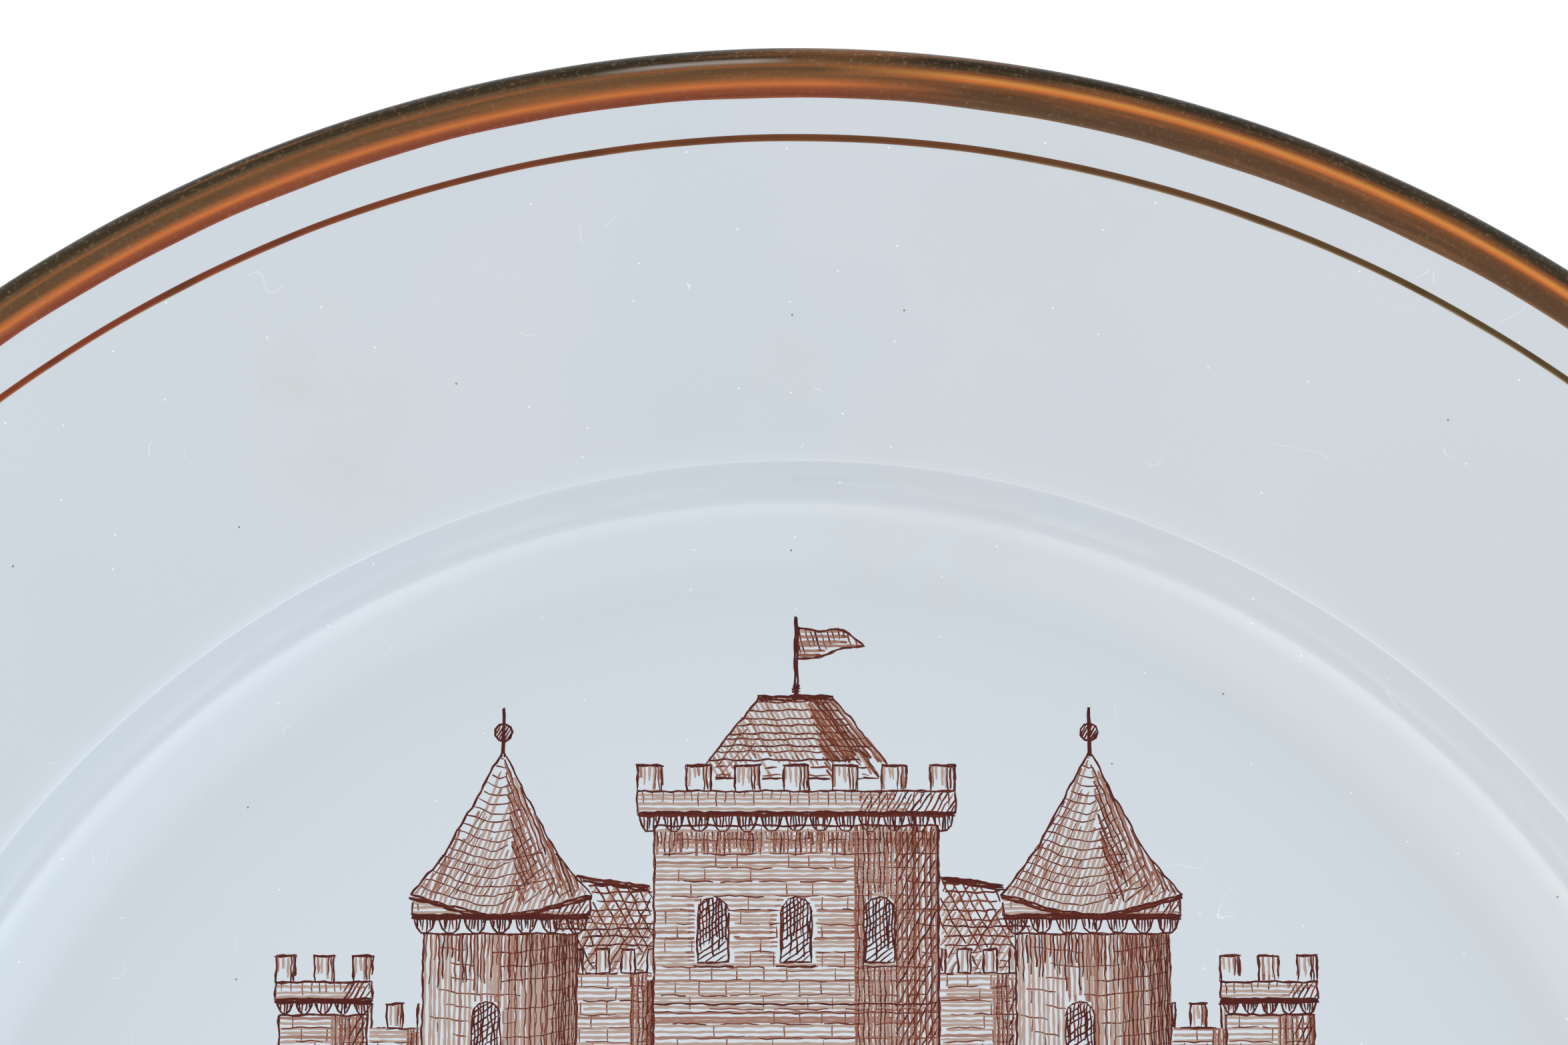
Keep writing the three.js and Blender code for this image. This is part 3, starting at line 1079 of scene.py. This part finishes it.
def cone(x, half, eaves, apex, courses=0.85):
    """A cone roof whose sides flare at the eaves, with curved courses."""
    left = bent([(x - half, eaves), (x - half * 0.62, eaves + (apex - eaves) * 0.3), (x, apex)])
    right = bent([(x + half, eaves), (x + half * 0.6, eaves + (apex - eaves) * 0.3), (x, apex)])
    sag = half * 0.22
    hem = bent([(x - half, eaves), (x, eaves - sag), (x + half, eaves)])
    clear([*left, *right[::-1], *hem[::-1]])
    wash([*left, *right[::-1], *hem[::-1]], 70, FADED, reach=(0.5, 1.0))
    stroke(left, DEEP, 0.27)
    stroke(right, DEEP, 0.27)
    rows = int((apex - eaves) / courses)
    for row in range(1, rows):
        share = row / rows
        spread = half * (1 - share) ** 1.15
        height = eaves + (apex - eaves) * share
        lit = pen.uniform(0.1, 0.75)
        course = [(x - spread * 0.95, height), (x - spread * 0.2, height - sag * (1 - share))]
        stroke(bent([*course, (x + spread * lit, height - sag * (1 - share) * 0.5)]), FULL, 0.2)
    hatch([*left[::2], (x, eaves)], 58, 0.5, MIDDLE, 0.18, reach=(0.4, 0.95))
    dark_edge(hem, 0.4)


print("openings, finials and cones ready")

# %% [markdown]
# ## The castle
#
# The castle is invented, a block of plain masonry with the same towers on both sides of a square
# keep. A sketch of that kind is planned as a plan of masses: each has a middle, a half width and
# heights, and the left side is the right side with its x turned round. Light comes from the left,
# so every mass is hatched on its right side whichever side of the castle it stands on.

# %% Masses of the castle, in mm
KEEP_HALF = 13.0
KEEP_TOP = 56.0
TOWER_MIDDLE = 27.0
TOWER_HALF = 7.0
TOWER_TOP = 46.0
TURRET_MIDDLE = 43.0
TURRET_HALF = 4.0
TURRET_TOP = 38.6
INNER_WALL_TOP = 42.4
OUTER_WALL_TOP = 37.4
FOOT = -24.0
SIDES_OF_CASTLE = (-1, 1)

print("masses planned from", -TURRET_MIDDLE - TURRET_HALF, "to", TURRET_MIDDLE + TURRET_HALF)

# %% [markdown]
# A wall is drawn as courses of stone that break off and start again, with a few upright joints.
# Its right third is in shade, hatched once over and once more aslant near the corner. Teeth stand
# along its top.

# %% Walls and teeth
def block(left, right, foot, top):
    """The outline of an upright rectangle."""
    return [(left, foot), (right, foot), (right, top), (left, top)]


def merlons(left, right, foot, count, tall=2.2):
    """A row of teeth along the top of a wall, each with a cap line and a shaded right side."""
    pitch = (right - left) / (count * 2 - 1)
    for i in range(count):
        x = left + 2 * i * pitch
        tooth = block(x, x + pitch, foot, foot + tall)
        mass(tooth, DEEP, 0.27)
        wash(tooth, -90, FADED, reach=(0.4, 1.0))
        hatch(block(x + pitch * 0.62, x + pitch, foot, foot + tall), -90, 0.3, FULL, 0.25)
        stroke([(x - 0.12, foot + tall), (x + pitch + 0.12, foot + tall)], DEEP, 0.32)


def stonework(left, right, foot, top, courses=1.25, shade=0.34):
    """A wall of coursed stone: broken courses, a few joints, and shade on its right side."""
    shape = block(left, right, foot, top)
    mass(shape, DEEP, 0.28)
    wide = right - left
    wash(shape, 0, FADED, reach=(0.8, 1.0))
    for row, level in enumerate(np.arange(top - courses, foot, -courses)):
        x = left + pen.uniform(0.0, wide * 0.2)
        while x < right - 0.5:
            end = min(right, x + pen.uniform(1.6, 5.0))
            course = [(x, level), (end, level + pen.uniform(-0.08, 0.08))]
            stroke(course, pen.choice((MIDDLE, FULL)), 0.22)
            x = end + pen.uniform(0.25, 1.7)
        for joint in np.arange(left + 1.1 + (row % 2) * 1.1, right - 0.3, 2.2):
            if pen.random() < 0.6:
                x = joint + pen.uniform(-0.25, 0.25)
                stroke([(x, level), (x, level + courses * 0.9)], MIDDLE, 0.2, 0.02)
    dark = block(right - wide * shade, right, foot, top)
    wash(dark, -90, PALE)
    hatch(dark, -90, 0.52, FULL, 0.26, reach=(0.6, 1.0))
    hatch(block(right - wide * shade * 0.5, right, foot, top), 62, 0.62, DEEP, 0.25)


print("walls and teeth ready")

# %% [markdown]
# Two kinds of stone trim break up a tall wall: the jutting crown of a tower on its row of small
# arches, and a thin band that marks a storey. Each throws a shade on the wall below.

# %% Crowns and string courses
def corbels(left, right, foot, top, count):
    """The jutting crown of a tower: a row of small arches under a plain band."""
    band_foot = foot + (top - foot) * 0.48
    mass([(left, band_foot), (right, band_foot), (right, top), (left, top)], DEEP, 0.28)
    wash(block(left, right, band_foot, top), 0, FADED)
    hatch(block(left, right, band_foot, top), -90, 0.8, MIDDLE, 0.22, reach=(0.3, 0.8))
    hatch(block(right - (right - left) * 0.3, right, band_foot, top), 58, 0.42, FULL, 0.26)
    pitch = (right - left) / count
    for i in range(count):
        x = left + pitch * (i + 0.5)
        left_leg = [(x - pitch * 0.45, band_foot), (x - pitch * 0.3, foot + 0.5)]
        right_leg = [(x + pitch * 0.3, foot + 0.5), (x + pitch * 0.45, band_foot)]
        arch = bent([*left_leg, (x, foot), *right_leg])
        stroke(arch, DEEP, 0.27, 0.03)
        hatch(arch, -90, 0.26, DEEP, 0.25, reach=(0.7, 1.0))
    dark_edge([(left, band_foot), (right, band_foot)], 0.35)


def string_course(left, right, level, dip=0.0):
    """A thin band of stone that juts from a wall, with its shade below; dip curves it."""
    middle = (left + right) / 2
    half = (right - left) / 2 + 0.4
    upper = [(middle + half * t, level - dip * (1 - t * t)) for t in np.linspace(-1, 1, 9)]
    lower = [(x, y - 1.1) for x, y in upper]
    band = [*upper, *lower[::-1]]
    mass(band, DEEP, 0.27)
    wash(band, 0, FADED)
    shade = [*lower, *[(x, y - 1.3) for x, y in lower[::-1]]]
    wash(shade, 0, PALE)
    hatch(shade, -90, 0.4, FULL, 0.26, reach=(0.5, 1.0))


print("crowns and string courses ready")

# %% [markdown]
# The walls come first, as they stand furthest back: a hall roof shows behind each inner wall, and
# the walls end in square turrets with teeth instead of roofs. A string course marks each storey.

# %% Halls, walls and end turrets
subject = "wings"
for side in SIDES_OF_CASTLE:
    near, far = sorted((side * 11.0, side * 22.0))
    hall_roof = [(near, 41), (far, 41), (far, 50.0), (near, 51.6)]
    mass(hall_roof, DEEP, 0.27)
    tiles(hall_roof, 0, 0.72, cross=0.95, cross_slant=58)
    hatch(hall_roof, -62, 0.8, FULL, 0.25, reach=(0.5, 0.9))
    dark_edge([(near, 51.6), (far, 50.0)], 0.5)
    near, far = sorted((side * 33.0, side * 40.0))
    stonework(near, far, FOOT, OUTER_WALL_TOP)
    merlons(near, far, OUTER_WALL_TOP, 3)
    for height in (22, 4):
        slit((near + far) / 2, height, 4.5)
    string_course(near, far, 14)
    near, far = sorted((side * 12.4, side * 20.6))
    stonework(near, far, FOOT, INNER_WALL_TOP)
    merlons(near, far, INNER_WALL_TOP, 4)
    for height in (28, 10, -8):
        window((near + far) / 2, height, 2.4, 5.4)
    for height in (22.5, 4.5):
        string_course(near, far, height)
    middle = side * TURRET_MIDDLE
    stonework(middle - TURRET_HALF, middle + TURRET_HALF, FOOT, TURRET_TOP, 1.2, 0.42)
    merlons(middle - TURRET_HALF - 0.4, middle + TURRET_HALF + 0.4, TURRET_TOP + 3.0, 3, 2.4)
    corbels(middle - TURRET_HALF - 0.4, middle + TURRET_HALF + 0.4, TURRET_TOP, TURRET_TOP + 3.0, 5)
    for height in (28, 12, -4):
        window(middle, height, 2.0, 4.6)
    for height in (22.5, 6.5):
        string_course(middle - TURRET_HALF, middle + TURRET_HALF, height)
print("strokes so far:", len(drawn))

# %% [markdown]
# The two towers are round, which a pen shows with curved courses and with shade that deepens
# towards the right edge in three steps, under a slate cone with a ball on its tip.

# %% Round towers
subject = "towers"


def round_tower(middle, half, foot, top):
    """A round wall: sagging courses, and upright hatching that closes up to the right."""
    shape = block(middle - half, middle + half, foot, top)
    mass(shape, DEEP, 0.28)
    wash(shape, -90, FADED, reach=(0.6, 1.0))
    for row, level in enumerate(np.arange(top - 0.8, foot + 1, -1.3)):
        lit_from = -pen.uniform(0.55, 0.98)
        dip = 0.9
        places = np.linspace(lit_from, 0.98, 6)
        course = [(middle + half * t, level - dip * (1 - t * t)) for t in places]
        cut = pen.choice((2, 3, 4))
        stroke(course[:cut], MIDDLE, 0.21)
        stroke(course[cut:], FULL, 0.23)
        for t in np.arange(-0.8 + (row % 2) * 0.17, 0.9, 0.34):
            if pen.random() < 0.5:
                x = middle + half * t
                joint = level - dip * (1 - t * t)
                stroke([(x, joint), (x, joint + 1.15)], MIDDLE, 0.2, 0.02)
    for share, spacing, tone in ((0.55, 0.75, MIDDLE), (0.32, 0.5, FULL), (0.14, 0.3, DEEP)):
        side_of_tower = block(middle + half * (1 - 2 * share), middle + half, foot, top)
        hatch(side_of_tower, -90, spacing, tone, 0.25, reach=(0.75, 1.0))
        wash(side_of_tower, -90, FADED, reach=(0.7, 1.0))
    hatch(shape, -90, 0.36, FULL, 0.26, reach=(0.03, 0.075))


for side in SIDES_OF_CASTLE:
    middle = side * TOWER_MIDDLE
    round_tower(middle, TOWER_HALF, FOOT, TOWER_TOP)
    crown_half = TOWER_HALF + 1.1
    corbels(middle - crown_half, middle + crown_half, TOWER_TOP, TOWER_TOP + 3.6, 7)
    cone(middle, crown_half + 0.2, TOWER_TOP + 3.6, 63.0, 0.72)
    flare = (middle + crown_half * 0.6, TOWER_TOP + 7.6)
    dark_side = [(middle + 1.6, TOWER_TOP + 2.6), (middle + crown_half, TOWER_TOP + 3.6), flare]
    dark_side.append((middle + 0.1, 62.4))
    wash(dark_side, -70, PALE)
    hatch(dark_side, -68, 0.42, FULL, 0.26, reach=(0.6, 1.0))
    hatch(dark_side, 40, 0.7, MIDDLE, 0.23, reach=(0.5, 0.9))
    ball_finial(middle, 62.4, 67.0, 0.85)
    for height in (34, 17, 0):
        window(middle - 1.2, height, 2.6, 5.8)
    for height in (30.5, 12.5):
        string_course(middle - TOWER_HALF, middle + TOWER_HALF, height, 0.9)
print("strokes so far:", len(drawn))

# %% [markdown]
# The keep is the tallest mass and the nearest of the towers. Inside its battlements rises a low
# roof of slates, and on that a staff with a pennant.

# %% Keep
subject = "keep"
KEEP_CROWN = KEEP_HALF + 1.6
pennant = bent([(0.2, 74.6), (2.2, 74.2), (4.2, 74.4), (6.3, 72.8)])
pennant += bent([(6.3, 72.8), (4.2, 72.6), (2.2, 71.8), (0.2, 71.6)])
mass(pennant, DEEP, 0.26)
wash(pennant, 0, PALE)
hatch(pennant, -76, 0.5, FULL, 0.23, reach=(0.4, 1.0))
keep_roof = [(-9.4, 60.4), (9.4, 60.4), (3.4, 68.0), (-3.4, 68.0)]
mass(keep_roof, DEEP, 0.28)
tiles(keep_roof, 0, 0.66)
hatch([(-9.4, 60.4), (-5, 60.4), (-1.6, 68), (-3.4, 68)], 52, 0.8, MIDDLE, 0.22, reach=(0.4, 0.9))
roof_shade = [(3.0, 60.4), (9.4, 60.4), (3.4, 68.0), (1.0, 68.0)]
wash(roof_shade, -52, THIN)
hatch(roof_shade, -52, 0.4, FULL, 0.26, reach=(0.6, 1.0))
dark_edge([(-3.5, 68.1), (3.5, 68.1)], 0.4)
for lean in (-0.13, 0.13):
    stroke([(lean, 67.8), (lean * 0.6, 75.6)], DEEP, 0.32, 0.03)
hatch([(-0.6, 68), (0.6, 68), (0.3, 69.2), (-0.3, 69.2)], 0, 0.28, DEEP, 0.28)
merlons(-KEEP_CROWN, KEEP_CROWN, 59.2, 7, 2.4)
stonework(-KEEP_HALF, KEEP_HALF, FOOT, KEEP_TOP, 1.3, 0.3)
corbels(-KEEP_CROWN, KEEP_CROWN, KEEP_TOP - 0.6, 59.2, 13)
hatch(block(-KEEP_HALF, KEEP_HALF, 52.6, KEEP_TOP - 0.6), -90, 0.36, FULL, 0.26, reach=(0.2, 0.8))
wash(block(-KEEP_HALF, KEEP_HALF, 53.2, KEEP_TOP - 0.6), -90, PALE)
for x in (-7.6, 0, 7.6):
    window(x, 43.4, 2.8, 6.0)
    window(x, 28.5, 2.6, 5.6)
stroke([(-KEEP_HALF, 39.6), (KEEP_HALF, 39.6)], DEEP, 0.27)
stroke([(-KEEP_HALF, 38.8), (KEEP_HALF, 38.8)], FULL, 0.23)
string_course(-KEEP_HALF, KEEP_HALF, 24.5)
print("strokes so far:", len(drawn))

# %% [markdown]
# ## The gatehouse, the outer wall and the ground
#
# In front stands a gatehouse with teeth along its top, two windows, and an arched door with steps
# down to the path.

# %% Gatehouse
subject = "gate"
stonework(-10, 10, -26, 11)
merlons(-11, 11, 14.0, 6)
corbels(-11, 11, 11, 14.0, 9)
for x in (-6.4, 6.4):
    window(x, 0.5, 2.2, 5.0)
window(0, -26, 7.0, 15.0)
for reach in (4.3, 4.9):
    arch = [(reach * math.cos(a), -14.5 + reach * math.sin(a)) for a in np.linspace(0, math.pi, 13)]
    stroke([(reach, -26), *arch, (-reach, -26)], DEEP, 0.24)
for tread in range(4):
    stroke([(-5 - tread, -26.6 - tread), (5 + tread, -26.6 - tread)], DEEP, 0.24)
print("strokes so far:", len(drawn))

# %% [markdown]
# A low wall with teeth closes the yard on both sides of the gatehouse, and ends in two small
# round towers under cones.

# %% Outer wall
for near, far in ((-52, -10.5), (10.5, 52)):
    stonework(near, far, -27, -17, 1.3, 0.05)
    merlons(near, far, -17, 9)
for x in (-54, 54):
    round_tower(x, 4.2, -29, -8)
    cone(x, 5.4, -8.2, 2.4)
    ball_finial(x, 2.0, 4.6, 0.4)
    slit(x - 1, -18, 4)
print("strokes so far:", len(drawn))

# %% [markdown]
# The castle stands on a mound that gives the drawing a rounded foot. A row of shrubs grows under
# the wall, and a winding path leads down from the door. The glaze is left bare between them, as
# a pen artist leaves paper.

# %% Shrubs and path
subject = "ground"


def shrub(x, y, size):
    """A shrub: short loops along its crown and a hatched shade below."""
    crown = [
        (x + size * math.cos(a), y + size * 0.72 * math.sin(a))
        for a in np.linspace(0, 2 * math.pi, 15)
    ]
    clear(crown[:-1])
    for (x0, y0), (x1, y1) in zip(crown, crown[1:]):
        out = 0.3 * size
        middle = ((x0 + x1) / 2 + (x0 - x) / size * out, (y0 + y1) / 2 + (y0 - y) / size * out)
        stroke(bent([(x0, y0), middle, (x1, y1)], 4), DEEP, 0.26, 0.03)
    wash(crown[:-1], 40, PALE)
    shade = [(cx, min(cy, y + size * 0.25)) for cx, cy in crown[:-1]]
    hatch(shade, 40, 0.36, DEEP, 0.27, reach=(0.6, 1.0))


for side in SIDES_OF_CASTLE:
    for i in range(6):
        shrub(side * (16 + i * 7.2) - 2, -29 - (i % 3) * 1.6, 2.4 + (i * 37 % 5) * 0.35)
path_left = bent([(-6, -30), (-10, -36), (-5, -42), (-12, -49)])
path_right = bent([(6, -30), (7, -36), (11, -42), (8, -50)])
stroke(path_left, DEEP, 0.28)
stroke(path_right, DEEP, 0.28)
for share in np.linspace(0.05, 0.95, 9):
    a = path_left[int(share * (len(path_left) - 1))]
    b = path_right[int(share * (len(path_right) - 1))]
    middle = ((a[0] + b[0]) / 2 + pen.uniform(-3, 3), (a[1] + b[1]) / 2)
    stroke([(middle[0] - 2, middle[1]), (middle[0] + 1.5, middle[1] - 0.2)], MIDDLE, 0.24)


print("strokes so far:", len(drawn))

# %% [markdown]
# Grass is short upright strokes scattered between the shrubs and the edge of the mound, and water
# is longer level ones along that edge, so the drawing fades out instead of ending at a line.

# %% Grass and water
GRASS = 760
RIPPLES = 120


def mound_edge(x):
    """How far down the ground reaches at a place across the drawing."""
    return -24 - 27 * math.sqrt(max(0.0, 1 - (x / 62) ** 2))


for _ in range(GRASS):
    x = pen.uniform(-56, 56)
    y = pen.uniform(mound_edge(x) + 4, -32)
    if -11 < x < 11:
        continue
    lean = pen.uniform(-0.5, 0.9)
    stroke([(x, y), (x + lean, y + pen.uniform(0.8, 1.9))], pen.choice((MIDDLE, FULL, DEEP)), 0.24)
for _ in range(RIPPLES):
    x = pen.uniform(-50, 50)
    y = mound_edge(x) + pen.uniform(0.5, 6)
    length = pen.uniform(2.5, 7)
    stroke(bent([(x, y), (x + length / 2, y - 0.35), (x + length, y + 0.1)]), FULL, 0.25)
print("strokes in the whole drawing:", len(drawn))

# %% [markdown]
# ## From strokes to raised enamel
#
# Each stroke becomes a low ridge of enamel: a three-sided bar that stands one to three hundredths
# of a millimetre on the glaze, with its underside sunk into the floor, closed at both ends. Its
# width swells and thins along the way and it ends in a small rest of the pen. Darker strokes
# stand a little higher than pale ones, as they hold more enamel, so where two cross the darker
# one is on top.

# %% Stroke meshes
SUNK = 0.012  # mm below the glaze
STANDS = 0.012  # mm above the glaze, for the palest tone
STANDS_MORE = 0.0026  # mm more for each darker tone


def enamel(name, strokes):
    """One mesh with all strokes of a subject; each tone is a material slot."""
    vertices, faces, tones = [], [], []
    for _, line, tone, width in strokes:
        way = np.gradient(line, axis=0)
        way /= np.maximum(np.hypot(way[:, 0], way[:, 1]), 1e-9)[:, None]
        side = np.column_stack((-way[:, 1], way[:, 0]))
        count = len(line)
        swell = 1 + 0.16 * np.sin(np.arange(count) * 1.9 + pen.uniform(0, 6))
        swell[0] = pen.uniform(0.5, 1.15)
        swell[-1] = pen.uniform(0.3, 1.0)
        half = (width / 2 * swell)[:, None]
        height = FLOOR + STANDS + STANDS_MORE * tone + pen.uniform(0, 0.002)
        first = len(vertices)
        base = FLOOR - SUNK
        edges = ((line + side * half, base), (line, height), (line - side * half, base))
        for edge, level in edges:
            vertices += [(x * MM, y * MM, level * MM) for x, y in edge]
        for i in range(count - 1):
            left, crest, right = first + i, first + count + i, first + 2 * count + i
            faces += [
                (left, crest, crest + 1, left + 1),
                (crest, right, right + 1, crest + 1),
                (right, left, left + 1, right + 1),
            ]
            rests = i == count - 2 and count > 4
            tones += [min(DARKEST, tone + 1) if rests else tone] * 3
        last = count - 1
        faces += [(first, first + 2 * count, first + count)]
        faces += [(first + last, first + count + last, first + 2 * count + last)]
        tones += [tone, tone]
    mesh = bpy.data.meshes.new(name)
    mesh.from_pydata(vertices, [], faces)
    mesh.polygons.foreach_set("material_index", tones)
    mesh.update()
    piece = bpy.data.objects.new(name, mesh)
    scene.collection.objects.link(piece)
    return piece


print("enamel stands", STANDS, "to", round(STANDS + STANDS_MORE * DARKEST, 4), "mm on the glaze")

# %% [markdown]
# Sepia enamel is iron oxide ground into soft glass. Fired thin it is a translucent red brown over
# the white, fired thick it is nearly black brown, always a little less glossy than the glaze
# around it. The tones of the pen are therefore steps of one enamel, from a faded wash to the full
# depth, each with a fine grain in its relief.

# %% Enamel tones
SEPIA = ["#AF988E", "#9C766A", "#8A5645", "#783E2B", "#632614", "#4C120A", "#3C0805"]

enamel_tones = []
for tone, hex_code in enumerate(SEPIA):
    fired, tree, shader = finish_of(
        f"sepia_enamel_{tone}",
        base_color=linear(hex_code),
        roughness=0.45,
        ior=1.5,
        specular_ior_level=0.2,
    )
    place = node(tree, "TexCoord").outputs["Object"]
    dulled = node(tree, "TexNoise", {"Vector": place, "Scale": 1000 / 1.5, "Detail": 3})
    gloss = node(
        tree,
        "MapRange",
        {"Value": dulled, "From Min": 0.3, "From Max": 0.7, "To Min": 0.36, "To Max": 0.55},
    )
    tree.links.new(gloss.outputs["Result"], shader.inputs["Roughness"])
    gritty = node(tree, "TexNoise", {"Vector": place, "Scale": 1000 / 0.12, "Detail": 3})
    grain = node(tree, "Bump", {"Strength": 0.3, "Distance": 0.00002, "Height": gritty})
    tree.links.new(grain.outputs["Normal"], shader.inputs["Normal"])
    enamel_tones.append(fired)

for name in ("keep", "towers", "wings", "gate", "ground"):
    piece = enamel("drawing_" + name, [one for one in drawn if one[0] == name])
    for fired in enamel_tones:
        piece.data.materials.append(fired)
    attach(piece, "root")
    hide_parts("castle_drawing")
    print(piece.name, len(piece.data.polygons), "faces")
